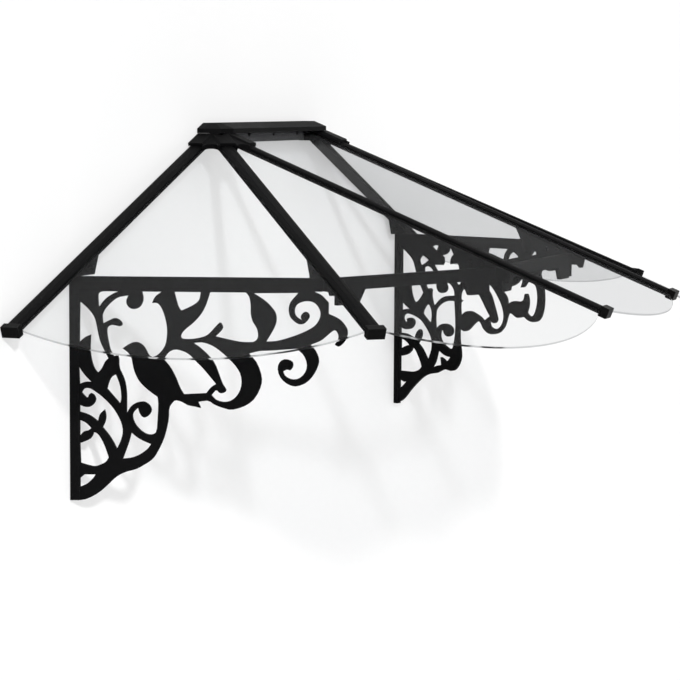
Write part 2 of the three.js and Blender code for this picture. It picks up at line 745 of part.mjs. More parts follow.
const bootHoles = [
  [[[18, -27]],
    [[27, -33], [36, -40], [44, -47], [50, -56], [54, -68], [60, -84], [66, -97], [75, -113]],
    [[70, -121], [62, -130], [53, -135]],
    [[47, -128], [42, -114], [40, -100], [38, -86]],
    [[28, -84], [18, -90]]],
  [[[18, -124]],
    [[21, -132], [27, -139], [36, -145], [44, -150]],
    [[31, -148], [18, -152]]],
  [[[88, -134]],
    [[94, -142], [97, -154], [96, -166], [94, -174]],
    [[87, -169], [79, -162], [72, -155]],
    [[74, -148], [80, -139], [88, -134]]],
  [[[22, -166]],
    [[25, -160], [33, -157], [45, -158], [58, -162], [70, -168], [81, -179], [91, -192],
      [97, -206], [97, -222], [92, -236], [87, -247]],
    [[80, -236], [71, -223], [61, -214]],
    [[66, -206], [70, -197], [69, -189], [65, -186]],
    [[58, -193], [53, -205]],
    [[42, -201], [30, -197], [15, -196]],
    [[15, -182]],
    [[24, -187], [34, -188], [44, -185], [50, -178], [51, -171], [46, -166], [38, -165],
      [33, -168]],
    [[34, -174], [29, -175], [24, -171], [22, -166]]],
  [[[16, -206]],
    [[27, -209], [34, -213], [40, -218]],
    [[30, -221], [22, -225], [16, -229]]],
  [[[15, -242]],
    [[25, -240], [36, -236], [44, -229]],
    [[47, -224], [52, -223]],
    [[58, -230], [64, -240], [69, -250], [72, -259]],
    [[66, -265], [56, -269], [45, -271], [30, -271], [15, -271]]],
  [[[14, -289]],
    [[20, -289], [27, -292], [33, -291]],
    [[26, -298], [14, -308]]],
  [[[113, -221]],
    [[119, -226], [127, -231], [136, -234], [145, -235]],
    [[139, -242], [133, -245]],
    [[127, -240], [120, -237]],
    [[121, -244], [122, -252]],
    [[112, -254], [98, -259]],
    [[105, -248], [109, -236], [113, -221]]],
  [[[154, -126]],
    [[142, -126], [130, -128], [119, -133], [110, -140], [105, -148]],
    [[104, -165], [106, -189]],
    [[110, -181], [118, -174], [129, -171], [140, -173], [148, -179], [149, -188],
      [142, -195], [134, -195], [128, -190], [126, -184]],
    [[121, -183], [117, -192], [119, -203], [126, -211], [136, -217], [145, -220],
      [151, -216]],
    [[155, -198], [157, -170], [154, -126]]],
  [[[75, -64]],
    [[85, -61], [94, -64], [100, -70], [107, -80], [110, -90]],
    [[108, -98], [112, -108], [121, -112], [130, -109], [134, -101], [130, -91]],
    [[140, -92], [148, -98], [153, -106], [154, -116]],
    [[142, -116], [130, -118], [119, -123], [109, -132], [101, -140]],
    [[97, -131], [94, -118], [95, -107]],
    [[90, -104], [86, -108], [81, -103], [77, -94], [74, -80], [75, -64]]],
  [[[138, -16]],
    [[150, -21], [166, -27]],
    [[156, -33], [147, -39], [143, -48], [143, -55]],
    [[158, -53], [173, -53]],
    [[173, -68], [171, -86], [163, -97]],
    [[155, -90], [140, -84], [122, -78], [108, -70], [99, -58]],
    [[112, -57], [122, -56], [125, -49], [119, -39]],
    [[130, -36], [137, -29], [138, -16]]],
  [[[72, -40]],
    [[80, -44], [89, -49]],
    [[80, -55], [67, -62]],
    [[62, -52], [66, -44], [72, -40]]],
  [[[94, -23]],
    [[103, -19], [114, -18]],
    [[110, -27], [107, -34]],
    [[101, -28], [94, -23]]],
  [[[236, -18]],
    [[285, -18]],
    [[277, -29], [274, -41]],
    [[262, -38], [247, -33], [233, -29]]],
  [[[282, -40]],
    [[286, -31], [296, -25], [304, -29], [310, -34]],
    [[296, -37], [282, -40]]],
  [[[347, -18]],
    [[370, -18]],
    [[362, -26], [350, -28], [337, -31]]],
  [[[366, -45]],
    [[370, -41], [375, -42]],
    [[374, -47], [368, -48], [366, -45]]],
  [[[196, -79]],
    [[208, -75], [222, -73], [236, -69]],
    [[228, -77], [212, -81], [196, -82]]],
  [[[245, -77]],
    [[254, -69], [266, -65], [280, -63], [291, -67], [300, -71]],
    [[288, -77], [270, -79], [245, -77]]],
  [[[172, -103]],
    [[180, -98], [190, -96], [200, -98], [208, -103], [216, -112], [225, -125], [234, -139],
      [242, -150]],
    [[234, -155], [228, -161]],
    [[218, -153], [208, -148], [198, -144], [189, -143], [179, -146], [169, -156]],
    [[167, -142], [167, -128]],
    [[172, -124]],
    [[167, -121], [168, -110], [172, -103]]],
  [[[213, -88]],
    [[226, -86], [240, -89], [251, -99], [261, -112], [270, -127], [275, -143], [274, -158],
      [266, -170], [254, -174], [243, -170], [240, -161]],
    [[243, -157], [248, -162], [255, -162], [259, -155]],
    [[255, -142], [249, -126], [243, -111], [232, -98], [213, -88]]],
  [[[258, -90]],
    [[275, -91], [293, -90], [306, -84], [314, -76]],
    [[319, -75], [320, -80], [316, -91]],
    [[323, -90], [328, -84], [332, -79]],
    [[344, -82], [352, -87], [356, -104], [355, -122], [350, -138], [343, -145], [335, -143],
      [330, -138]],
    [[334, -125], [334, -112], [331, -103]],
    [[326, -103], [323, -114], [314, -118], [297, -118], [284, -126]],
    [[281, -112], [271, -101], [258, -90]]],
];

function drawLoop(rows, scaleX, scaleY) {
  const place = ([x, y]) => new THREE.Vector2(x * scaleX, y * scaleY);
  const [start, ...rest] = rows;
  const shape = new THREE.Shape();
  shape.moveTo(...place(start[0]).toArray());
  rest.forEach((row) => {
    if (row.length === 1) {
      shape.lineTo(...place(row[0]).toArray());
    } else {
      shape.splineThru(row.map(place));
    }
  });
  shape.closePath();
  return shape;
}

function scrollPlate(reach, { edge, loops, width }) {
  const scaleX = reach / width;
  const scaleY = postHeight / sheetHeight;
  const plate = slab(drawLoop(edge, scaleX, scaleY), scrollThickness, stepsPerPoint);
  const holes = loops.map((rows) => (
    slab(drawLoop(rows, scaleX, scaleY), scrollThickness * 2, stepsPerPoint)
  ));
  return cut(toSolid(plate), holes);
}

function bracketFrame(length) {
  const behindWall = -frameThickness;
  return slab(polygon([
    [behindWall, 0], [behindWall, -postHeight], [postWidth, -postHeight],
    [postWidth, -ringHeight], [length, -ringHeight], [length, 0],
  ]), frameThickness);
}

[
  {
    name: 'left',
    side: -1,
    corner: rafters[1],
    drawing: { edge: scrollEdge, loops: scrollHoles, width: scrollSheetWidth },
  },
  {
    name: 'right',
    side: 1,
    corner: rafters[4],
    drawing: { edge: bootEdge, loops: bootHoles, width: bootSheetWidth },
  },
].forEach(({ name, side, corner, drawing }) => {
  const from = new THREE.Vector3(side * (ridgeLength / 2 + postRun), 0, 0);
  const to = planPoint(corner, ringRadius, 0);
  const reach = from.distanceTo(to);
  const length = reach - cornerSetback(corner, from, to, frameThickness);
  const matrix = elevationMatrix(from, to);
  const inverse = matrix.clone().invert();
  const rooms = [wallSide.clone(), ...clipRoom(corner)];
  const roomsHere = rooms.map((room) => room.applyMatrix4(inverse));
  const whole = toSolid(bracketFrame(length)).add(scrollPlate(reach, drawing));
  addPiece(`scroll_bracket_${name}`, toGeometry(cut(whole, roomsHere)), blackMetal, matrix);
});

export default canopy;
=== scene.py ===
# %% [markdown]
# # A door canopy with clear panels and scroll brackets
# The object is a small roof over a door. It is half of a stretched octagon in plan: a short ridge
# stands on the wall, six bars run down from its two ends, and five clear sheets lie between them.
# The bars, the ring under them and the two scroll brackets are metal with a black powder coat.
#
# The solids are already measured and placed. This lesson gives them their finishes, adds the
# small bolts, and sets up the wall, the lamps and the camera.

import math

import bpy
from mathutils import Matrix, Vector


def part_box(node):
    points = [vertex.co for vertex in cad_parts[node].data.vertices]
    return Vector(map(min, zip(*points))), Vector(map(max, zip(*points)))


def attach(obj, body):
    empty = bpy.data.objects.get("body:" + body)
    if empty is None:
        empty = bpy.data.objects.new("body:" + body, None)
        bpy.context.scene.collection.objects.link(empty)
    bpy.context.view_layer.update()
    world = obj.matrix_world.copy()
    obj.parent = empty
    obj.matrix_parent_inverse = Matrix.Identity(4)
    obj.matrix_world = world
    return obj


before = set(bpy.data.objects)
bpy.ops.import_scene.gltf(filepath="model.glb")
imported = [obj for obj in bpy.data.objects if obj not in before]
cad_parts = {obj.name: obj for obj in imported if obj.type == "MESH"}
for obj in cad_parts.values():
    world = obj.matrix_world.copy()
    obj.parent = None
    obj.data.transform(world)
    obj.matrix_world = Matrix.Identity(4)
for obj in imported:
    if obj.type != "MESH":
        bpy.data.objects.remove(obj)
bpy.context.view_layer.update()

MM = 0.001


def nodes_named(start):
    """The solids whose name starts with these words, in order."""
    return [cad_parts[name] for name in sorted(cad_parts) if name.startswith(start)]


# %% [markdown]
# ## The camera
# The picture was taken from far to the left with a long lens, a little above the ridge. The
# place, the two angles and the lens were worked out by matching the end caps, the posts and the
# ridge with the solids. A long lens far away keeps the two brackets nearly the same size, which a
# close wide lens wouldn't do. The whole picture also leans by a quarter of a degree.

# %% Place the camera
IMAGE_WIDTH = 680
CAMERA_PLACE = Vector((-4.1014, -1.8430, 0.0683))
CAMERA_AZIMUTH = math.radians(-67.69)
CAMERA_ELEVATION = math.radians(5.44)
CAMERA_LEAN = math.radians(0.26)
FOCAL_PIXELS = 2573.8
SENSOR_MM = 36.0


def camera_axes(azimuth, elevation, lean):
    """Right, up and forward for a camera that looks along +Y at azimuth 0."""
    forward = Vector((
        -math.sin(azimuth) * math.cos(elevation),
        math.cos(azimuth) * math.cos(elevation),
        -math.sin(elevation),
    ))
    level = forward.cross(Vector((0, 0, 1))).normalized()
    upright = level.cross(forward)
    right = level * math.cos(lean) + upright * math.sin(lean)
    up = upright * math.cos(lean) - level * math.sin(lean)
    return right, up, forward


def make_camera():
    data = bpy.data.cameras.new("camera")
    data.sensor_width = SENSOR_MM
    data.lens = FOCAL_PIXELS / IMAGE_WIDTH * SENSOR_MM
    data.clip_end = 100
    camera = bpy.data.objects.new("camera", data)
    bpy.context.scene.collection.objects.link(camera)
    right, up, forward = camera_axes(CAMERA_AZIMUTH, CAMERA_ELEVATION, CAMERA_LEAN)
    turn = Matrix((right, up, -forward)).transposed().to_4x4()
    camera.matrix_world = Matrix.Translation(CAMERA_PLACE) @ turn
    bpy.context.scene.camera = camera
    return camera


camera = make_camera()
print("lens in mm:", round(camera.data.lens, 1))

# %% [markdown]
# ## Small helpers for node trees
# Every finish below is a tree of shader nodes. Effects that several finishes share are node
# groups: a group is built once, has named inputs and outputs, and each material places it with
# its own values. That keeps a material short and makes a change in one place reach all of them.


# %% Helpers for groups and materials
def new_group(name, inputs, outputs):
    """An empty shader group. inputs: name to (kind, default); outputs: name to kind."""
    group = bpy.data.node_groups.new(name, "ShaderNodeTree")
    for label, (kind, default) in inputs.items():
        socket = group.interface.new_socket(label, in_out="INPUT", socket_type=kind)
        socket.default_value = default
    for label, kind in outputs.items():
        group.interface.new_socket(label, in_out="OUTPUT", socket_type=kind)
    entry = group.nodes.new("NodeGroupInput")
    result = group.nodes.new("NodeGroupOutput")
    return group, entry, result


def add(tree, kind, **settings):
    """A node of a kind, with its settings; a setting that is a socket's name sets that socket."""
    node = tree.nodes.new(kind)
    for label, value in settings.items():
        if hasattr(node, label):
            setattr(node, label, value)
        else:
            node.inputs[label.replace("_", " ")].default_value = value
    return node


def place_group(tree, group, **values):
    node = tree.nodes.new("ShaderNodeGroup")
    node.node_tree = group
    for label, value in values.items():
        node.inputs[label.replace("_", " ")].default_value = value
    return node


def math_node(tree, operation, first, second=None):
    """A Math node; each operand is a number or a socket."""
    node = tree.nodes.new("ShaderNodeMath")
    node.operation = operation
    for slot, operand in enumerate((first, second)):
        if operand is None:
            continue
        if isinstance(operand, bpy.types.NodeSocket):
            tree.links.new(operand, node.inputs[slot])
        else:
            node.inputs[slot].default_value = operand
    return node.outputs[0]


def new_material(name):
    material = bpy.data.materials.new(name)
    material.use_nodes = True
    tree = material.node_tree
    tree.nodes.clear()
    output = tree.nodes.new("ShaderNodeOutputMaterial")
    shader = tree.nodes.new("ShaderNodeBsdfPrincipled")
    tree.links.new(shader.outputs[0], output.inputs["Surface"])
    return material, tree, shader, output


# %% [markdown]
# ## Effect: powder coat
# Powder coat is a plastic skin baked on to metal. Close up it has a soft orange-peel surface: low
# bumps about a millimetre apart. From a step away it shows as a slightly broken gloss. One noise
# makes the peel, a second and much wider one lets the gloss wander, as it does where the coat is
# a little thicker.


# %% Build the powder coat group
def build_powder_coat():
    group, entry, result = new_group(
        "powder_coat",
        {
            "Peel Scale": ("NodeSocketFloat", 900.0),
            "Cloud Scale": ("NodeSocketFloat", 9.0),
        },
        {"Peel": "NodeSocketFloat", "Cloud": "NodeSocketFloat"},
    )
    place = add(group, "ShaderNodeTexCoord")
    peel = add(group, "ShaderNodeTexNoise", Detail=1.0, Roughness=0.4)
    cloud = add(group, "ShaderNodeTexNoise", Detail=3.0, Roughness=0.55)
    for noise, label in ((peel, "Peel Scale"), (cloud, "Cloud Scale")):
        group.links.new(place.outputs["Object"], noise.inputs["Vector"])
        group.links.new(entry.outputs[label], noise.inputs["Scale"])
    group.links.new(peel.outputs["Fac"], result.inputs["Peel"])
    group.links.new(cloud.outputs["Fac"], result.inputs["Cloud"])
    return group


powder_coat = build_powder_coat()
print("group:", powder_coat.name, [item.name for item in powder_coat.interface.items_tree])

# %% [markdown]
# ## Effect: rounded edges and a painted edge highlight
# No real edge is perfectly sharp: the coat runs round it in a small radius and catches a thin line
# of light there. The Bevel node gives the direction that a rounded surface would face, without a
# change to the mesh. Where that direction departs from the flat one, there is an edge, so the same
# node also gives the mask for a painted highlight: a lighter colour along the edge.


# %% Build the edge group
def build_edges():
    group, entry, result = new_group(
        "soft_edges",
        {"Radius": ("NodeSocketFloat", 0.8 * MM), "Reach": ("NodeSocketFloat", 6.0)},
        {"Normal": "NodeSocketVector", "Edge": "NodeSocketFloat"},
    )
    bevel = add(group, "ShaderNodeBevel", samples=6)
    group.links.new(entry.outputs["Radius"], bevel.inputs["Radius"])
    flat = add(group, "ShaderNodeNewGeometry")
    compare = add(group, "ShaderNodeVectorMath", operation="DOT_PRODUCT")
    group.links.new(bevel.outputs["Normal"], compare.inputs[0])
    group.links.new(flat.outputs["Normal"], compare.inputs[1])
    away = math_node(group, "SUBTRACT", 1.0, compare.outputs["Value"])
    strong = math_node(group, "MULTIPLY", away, entry.outputs["Reach"])
    group.links.new(math_node(group, "MINIMUM", strong, 1.0), result.inputs["Edge"])
    group.links.new(bevel.outputs["Normal"], result.inputs["Normal"])
    return group


soft_edges = build_edges()
print("group:", soft_edges.name, [item.name for item in soft_edges.interface.items_tree])

# %% [markdown]
# ## Effect: dust from the weather
# A roof on a wall gathers a little dust on what faces up. The group takes how far the surface
# faces up and breaks that with noise. The picture shows a new canopy, so each finish uses only a
# trace of it.


# %% Build the dust group
def build_dust():
    group, entry, result = new_group(
        "roof_dust",
        {"Amount": ("NodeSocketFloat", 0.1), "Patch Scale": ("NodeSocketFloat", 40.0)},
        {"Dust": "NodeSocketFloat"},
    )
    place = add(group, "ShaderNodeTexCoord")
    surface = add(group, "ShaderNodeNewGeometry")
    direction = add(group, "ShaderNodeSeparateXYZ")
    group.links.new(surface.outputs["Normal"], direction.inputs[0])
    facing_up = math_node(group, "MAXIMUM", direction.outputs["Z"], 0.0)
    patches = add(group, "ShaderNodeTexNoise", Detail=4.0, Roughness=0.6)
    group.links.new(place.outputs["Object"], patches.inputs["Vector"])
    group.links.new(entry.outputs["Patch Scale"], patches.inputs["Scale"])
    broken = math_node(group, "MULTIPLY", facing_up, patches.outputs["Fac"])
    amount = math_node(group, "MULTIPLY", broken, entry.outputs["Amount"])
    group.links.new(amount, result.inputs["Dust"])
    return group


roof_dust = build_dust()
print("group:", roof_dust.name, [item.name for item in roof_dust.interface.items_tree])

# %% [markdown]
# ## Finish: black powder coat on metal
# The bars, the ring and the brackets are all the same black. It is a shade above pure black, so
# that faces which look up at the sky stay apart from faces that look down. Edges get a slightly
# lighter colour, a painted highlight in place of the light that a rounded edge catches. Dust lifts
# the top faces by a trace, and the peel goes into the normal through a Bump node that stands on
# the rounded normal. The reflection at the face is kept low, because the picture shows almost no
# gloss. The end caps are a deeper black plastic with the same painted highlight on their edges.
# The ridge rail is a dark grey of painted light: it lies in the shade of the cap above it, and the
# grey stands in for the light that keeps it lighter than the cap.

# %% Make the coated metal
BLACK_COAT = (0.0030, 0.0030, 0.0032)
# Painted highlight: a lighter colour along the edges of the coat, in place of light caught there.
COAT_EDGE_HIGHLIGHT = (0.012, 0.012, 0.013)
# Painted light: the rail's grey stands in for light on it, though it lies in the shade of the cap.
RAIL_PAINTED_LIGHT_GREY = (0.12, 0.12, 0.124)
CAP_BLACK = (0.0025, 0.0025, 0.0025)
# Painted highlight: a lighter colour along the edges of the caps, in place of light caught there.
CAP_EDGE_HIGHLIGHT = (0.008, 0.008, 0.008)
DUST_GREY = (0.30, 0.29, 0.27)
PEEL_STRENGTH = 0.5


def layer_colour(tree, below, above, mask):
    """Puts one colour over another where the mask says so."""
    mix = tree.nodes.new("ShaderNodeMix")
    mix.data_type = "RGBA"
    tree.links.new(mask, mix.inputs["Factor"])
    for socket, colour in ((mix.inputs["A"], below), (mix.inputs["B"], above)):
        if isinstance(colour, bpy.types.NodeSocket):
            tree.links.new(colour, socket)
        else:
            socket.default_value = (*colour, 1.0)
    return mix.outputs["Result"]


def coated(name, colour, edge_highlight_colour, roughness, wander, peel_depth, dust, specular):
    material, tree, shader, _ = new_material(name)
    edges = place_group(tree, soft_edges)
    coat = place_group(tree, powder_coat)
    settled = place_group(tree, roof_dust, Amount=dust)
    # Painted highlight: the edge mask lays the lighter edge colour over the base colour.
    edge_highlighted = layer_colour(tree, colour, edge_highlight_colour, edges.outputs["Edge"])
    dusty = layer_colour(tree, edge_highlighted, DUST_GREY, settled.outputs["Dust"])
    tree.links.new(dusty, shader.inputs["Base Color"])
    spread = math_node(tree, "MULTIPLY", coat.outputs["Cloud"], wander)
    tree.links.new(math_node(tree, "ADD", spread, roughness), shader.inputs["Roughness"])
    peel = add(tree, "ShaderNodeBump", Strength=PEEL_STRENGTH, Distance=peel_depth)
    tree.links.new(coat.outputs["Peel"], peel.inputs["Height"])
    tree.links.new(edges.outputs["Normal"], peel.inputs["Normal"])
    tree.links.new(peel.outputs["Normal"], shader.inputs["Normal"])
    shader.inputs["Specular IOR Level"].default_value = specular
    return material


black_coat = coated("black_coat", BLACK_COAT, COAT_EDGE_HIGHLIGHT, roughness=0.50, wander=0.16,
                    peel_depth=0.05 * MM, dust=0.002, specular=0.03)
bracket_coat = coated("bracket_coat", BLACK_COAT, COAT_EDGE_HIGHLIGHT, roughness=0.54, wander=0.16,
                      peel_depth=0.07 * MM, dust=0.002, specular=0.035)
cap_plastic = coated("cap_plastic", CAP_BLACK, CAP_EDGE_HIGHLIGHT, roughness=0.40, wander=0.10,
                     peel_depth=0.03 * MM, dust=0.002, specular=0.04)
# Painted light: the rail gets a lighter grey in place of the light it lacks in the cap's shade.
rail_painted_light = coated("rail_painted_light", RAIL_PAINTED_LIGHT_GREY, RAIL_PAINTED_LIGHT_GREY, roughness=0.54, wander=0.16,
                   peel_depth=0.05 * MM, dust=0.002, specular=0.03)
print("coats:", black_coat.name, bracket_coat.name, cap_plastic.name, rail_painted_light.name)

# %% [markdown]
# ## Finish: clear sheet
# The panels are clear plastic sheet, 3 mm thick. The wall shows through them a little greyer, and
# the bars behind them a little lighter. Three things make that: a base colour just under white
# for what goes through, a smooth face, and cut edges that are matt and darker, because light that
# gets into the sheet leaves it there. The two broad faces of a panel look mostly up or down, so
# the way a face looks tells the edges apart. Light that passes at a flat angle has a longer way
# through the sheet and loses more at its faces, so the tint deepens with the Layer Weight.
#
# A hundredth of the sheet is matt. That is the haze that lifts black parts a little where they
# are seen through a panel. The index of refraction is close to that of air: the picture shows no
# mirror image on the panels, even at a flat angle, and no shift of what lies behind them.
#
# Lamp light passes a real sheet almost straight. A ray tracer would treat the sheet as solid for
# shadows, so for shadow rays only the material becomes a see-through grey.


# %% Build the sheet edge group
def build_sheet_edges():
    group, entry, result = new_group(
        "sheet_edges",
        {"Steepest Face": ("NodeSocketFloat", 0.6)},
        {"Edge": "NodeSocketFloat"},
    )
    surface = add(group, "ShaderNodeNewGeometry")
    direction = add(group, "ShaderNodeSeparateXYZ")
    group.links.new(surface.outputs["True Normal"], direction.inputs[0])
    upright = math_node(group, "ABSOLUTE", direction.outputs["Z"])
    edge = math_node(group, "LESS_THAN", upright, entry.outputs["Steepest Face"])
    group.links.new(edge, result.inputs["Edge"])
    return group


sheet_edges = build_sheet_edges()
print("group:", sheet_edges.name, [item.name for item in sheet_edges.interface.items_tree])

# %% Make the clear sheet
SHEET_TINT = (0.91, 0.915, 0.915)
FLAT_ANGLE_TINT = (0.75, 0.755, 0.76)
FLAT_ANGLE_START = 0.60
FLAT_ANGLE_FULL = 0.82
CUT_EDGE_TINT = (0.42, 0.425, 0.43)
SHEET_CLEAR_SHARE = 0.99
SHEET_IOR = 1.009
SHEET_ROUGHNESS = 0.015
CUT_EDGE_EXTRA_ROUGHNESS = 0.35
SHADOW_TINT = (0.66, 0.67, 0.68, 1.0)


def make_clear_sheet():
    material, tree, shader, output = new_material("clear_sheet")
    edges = place_group(tree, sheet_edges)
    angle = add(tree, "ShaderNodeLayerWeight", Blend=0.5)
    flat = add(tree, "ShaderNodeMapRange")
    flat.inputs["From Min"].default_value = FLAT_ANGLE_START
    flat.inputs["From Max"].default_value = FLAT_ANGLE_FULL
    tree.links.new(angle.outputs["Facing"], flat.inputs["Value"])
    broad = layer_colour(tree, SHEET_TINT, FLAT_ANGLE_TINT, flat.outputs["Result"])
    tint = layer_colour(tree, broad, CUT_EDGE_TINT, edges.outputs["Edge"])
    tree.links.new(tint, shader.inputs["Base Color"])
    matt = math_node(tree, "MULTIPLY", edges.outputs["Edge"], CUT_EDGE_EXTRA_ROUGHNESS)
    tree.links.new(math_node(tree, "ADD", matt, SHEET_ROUGHNESS), shader.inputs["Roughness"])
    shader.inputs["Transmission Weight"].default_value = SHEET_CLEAR_SHARE
    shader.inputs["IOR"].default_value = SHEET_IOR
    clear = add(tree, "ShaderNodeBsdfTransparent")
    clear.inputs["Color"].default_value = SHADOW_TINT
    path = add(tree, "ShaderNodeLightPath")
    mix = add(tree, "ShaderNodeMixShader")
    tree.links.new(path.outputs["Is Shadow Ray"], mix.inputs[0])
    tree.links.new(shader.outputs[0], mix.inputs[1])
    tree.links.new(clear.outputs[0], mix.inputs[2])
    tree.links.new(mix.outputs[0], output.inputs["Surface"])
    return material


clear_sheet = make_clear_sheet()
print("sheet:", clear_sheet.name)

# %% [markdown]
# ## Dress the solids
# Each solid gets its finish by the start of its name. A later line of the table goes over an
# earlier one, so the rail gets its grey of painted light after the rest of the ridge. Only the
# material changes: the shapes stay as they were measured.

# %% Put the finishes on
FINISHES = {
    "rafter_": black_coat,
    "ridge_": black_coat,
    "ridge_rail": rail_painted_light,
    "ring_": bracket_coat,
    "scroll_": bracket_coat,
    "end_cap_": cap_plastic,
    "panel_": clear_sheet,
}


def dress(solid, material):
    solid.data.materials.clear()
    solid.data.materials.append(material)


for start, material in FINISHES.items():
    solids = nodes_named(start)
    for solid in solids:
        dress(solid, material)
    print(start, "pieces:", len(solids), "finish:", material.name)

# %% [markdown]
# ## Bolts and screws
# Bolts hold the clips to the ring and to the brackets, screws hold the rail to the wall, one
# screw under each end cap keeps it on its bar, and one bolt comes out under each hub. All of them
# are the same part in four sizes: a round head with a socket in it. One head could be modelled
# and copied by hand, but a Geometry Nodes tree keeps head, socket and places apart: the tree makes
# a head from its named sizes and sets one on every point, turned to the way that the point faces.
#
# The places come from the solids. A plate's broad side is where most of its area faces, so each
# bolt finds its own plate, and moves with it if a size changes.


# %% Find the broad side of a plate
UPRIGHT_LIMIT = 0.1


def faces_of(solid):
    """Centre, normal and area of each face of a solid, in the scene's metres."""
    return [(face.center.copy(), face.normal.copy(), face.area) for face in solid.data.polygons]


def broad_side(solid, sign):
    """The level direction that most of a plate's area faces, and how far out that side lies."""
    faces = faces_of(solid)
    upright = [row for row in faces if abs(row[1].z) < UPRIGHT_LIMIT]
    broadest = max(upright, key=lambda row: row[2])[1]
    normal = Vector((broadest.x, broadest.y, 0)).normalized() * sign
    out = max(vertex.co.dot(normal) for vertex in solid.data.vertices)
    return normal, out


def place_on_plate(solid, sign, along, height):
    """A point on a plate's broad side: along is 0 to 1 outwards, height 0 to 1 from below."""
    normal, out = broad_side(solid, sign)
    level = normal.cross(Vector((0, 0, 1)))
    low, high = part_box(solid.name)
    if level.x * (low[0] + high[0]) + level.y * (low[1] + high[1]) < 0:
        level.negate()
    spans = [vertex.co.dot(level) for vertex in solid.data.vertices]
    reach = min(spans) + along * (max(spans) - min(spans))
    spot = normal * out + level * reach
    spot.z = low[2] + height * (high[2] - low[2])
    return spot, normal


first_clip = nodes_named("rafter_clip_left_diagonal")[0]
print("a clip's broad side:", [round(part, 3) for part in broad_side(first_clip, 1)[0]])

# %% Build the tree that makes heads on points
HEAD_SIDES = 20
HEAD_TOP_SHARE = 0.72
SOCKET_SHARE = 0.52
SOCKET_DEPTH_SHARE = 0.6


def build_head_tree():
    tree = bpy.data.node_groups.new("socket_heads", "GeometryNodeTree")
    face = tree.interface
    face.new_socket("Geometry", in_out="INPUT", socket_type="NodeSocketGeometry")
    for label in ("Head Radius", "Head Height", "Socket Depth"):
        face.new_socket(label, in_out="INPUT", socket_type="NodeSocketFloat")
    face.new_socket("Finish", in_out="INPUT", socket_type="NodeSocketMaterial")
    face.new_socket("Geometry", in_out="OUTPUT", socket_type="NodeSocketGeometry")
    entry = tree.nodes.new("NodeGroupInput")
    result = tree.nodes.new("NodeGroupOutput")

    head = add(tree, "GeometryNodeMeshCone", Vertices=HEAD_SIDES)
    narrow = math_node(tree, "MULTIPLY", entry.outputs["Head Radius"], HEAD_TOP_SHARE)
    tree.links.new(narrow, head.inputs["Radius Top"])
    tree.links.new(entry.outputs["Head Radius"], head.inputs["Radius Bottom"])
    tree.links.new(entry.outputs["Head Height"], head.inputs["Depth"])

    rim = add(tree, "GeometryNodeExtrudeMesh", mode="FACES", Offset_Scale=0.0)
    tree.links.new(head.outputs["Mesh"], rim.inputs["Mesh"])
    tree.links.new(head.outputs["Top"], rim.inputs["Selection"])
    inset = add(tree, "GeometryNodeScaleElements", domain="FACE", Scale=SOCKET_SHARE)
    tree.links.new(rim.outputs["Mesh"], inset.inputs["Geometry"])
    tree.links.new(rim.outputs["Top"], inset.inputs["Selection"])
    socket = add(tree, "GeometryNodeExtrudeMesh", mode="FACES")
    down = math_node(tree, "MULTIPLY", entry.outputs["Socket Depth"], -1.0)
    tree.links.new(inset.outputs["Geometry"], socket.inputs["Mesh"])
    tree.links.new(rim.outputs["Top"], socket.inputs["Selection"])
    tree.links.new(down, socket.inputs["Offset Scale"])

    facing = add(tree, "GeometryNodeInputNamedAttribute", data_type="FLOAT_VECTOR")
    facing.inputs["Name"].default_value = "facing"
    turn = add(tree, "FunctionNodeAlignRotationToVector", axis="Z")
    tree.links.new(facing.outputs["Attribute"], turn.inputs["Vector"])
    copies = add(tree, "GeometryNodeInstanceOnPoints")
    tree.links.new(entry.outputs["Geometry"], copies.inputs["Points"])
    tree.links.new(socket.outputs["Mesh"], copies.inputs["Instance"])
    tree.links.new(turn.outputs["Rotation"], copies.inputs["Rotation"])
    real = add(tree, "GeometryNodeRealizeInstances")
    tree.links.new(copies.outputs["Instances"], real.inputs["Geometry"])
    dressed = add(tree, "GeometryNodeSetMaterial")
    tree.links.new(real.outputs["Geometry"], dressed.inputs["Geometry"])
    tree.links.new(entry.outputs["Finish"], dressed.inputs["Material"])
    tree.links.new(dressed.outputs["Geometry"], result.inputs["Geometry"])
    return tree


head_tree = build_head_tree()
print("tree:", head_tree.name, "nodes:", len(head_tree.nodes))


# %% A helper that turns places into one plain mesh of heads
def make_heads(name, places, radius, height, finish):
    """One mesh with a socket head at each place; places are pairs of a point and a direction."""
    mesh = bpy.data.meshes.new(name + "_places")
    mesh.from_pydata([tuple(spot) for spot, _ in places], [], [])
    facing = mesh.attributes.new("facing", "FLOAT_VECTOR", "POINT")
    for row, (_, direction) in zip(facing.data, places):
        row.vector = direction
    source = bpy.data.objects.new(name + "_source", mesh)
    bpy.context.scene.collection.objects.link(source)
    modifier = source.modifiers.new("heads", "NODES")
    modifier.node_group = head_tree
    sizes = {
        "Head Radius": radius,
        "Head Height": height,
        "Socket Depth": height * SOCKET_DEPTH_SHARE,
        "Finish": finish,
    }
    for item in head_tree.interface.items_tree:
        if item.name in sizes:
            modifier[item.identifier] = sizes[item.name]
    graph = bpy.context.evaluated_depsgraph_get()
    plain = bpy.data.meshes.new_from_object(source.evaluated_get(graph))
    plain.name = name
    bpy.data.objects.remove(source)
    heads = bpy.data.objects.new(name, plain)
    bpy.context.scene.collection.objects.link(heads)
    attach(heads, "root")
    print(name, "heads:", len(places), "triangles:", sum(len(f.vertices) - 2 for f in plain.polygons))
    return heads


# %% Bolts through the clips
CLIP_BOLT_RADIUS = 4.2 * MM
CLIP_BOLT_HEIGHT = 2.6 * MM
RING_CLIP_SPOTS = ((0.34, 0.52), 0.52)
WALL_CLIP_SPOTS = ((0.30, 0.50), 0.28)


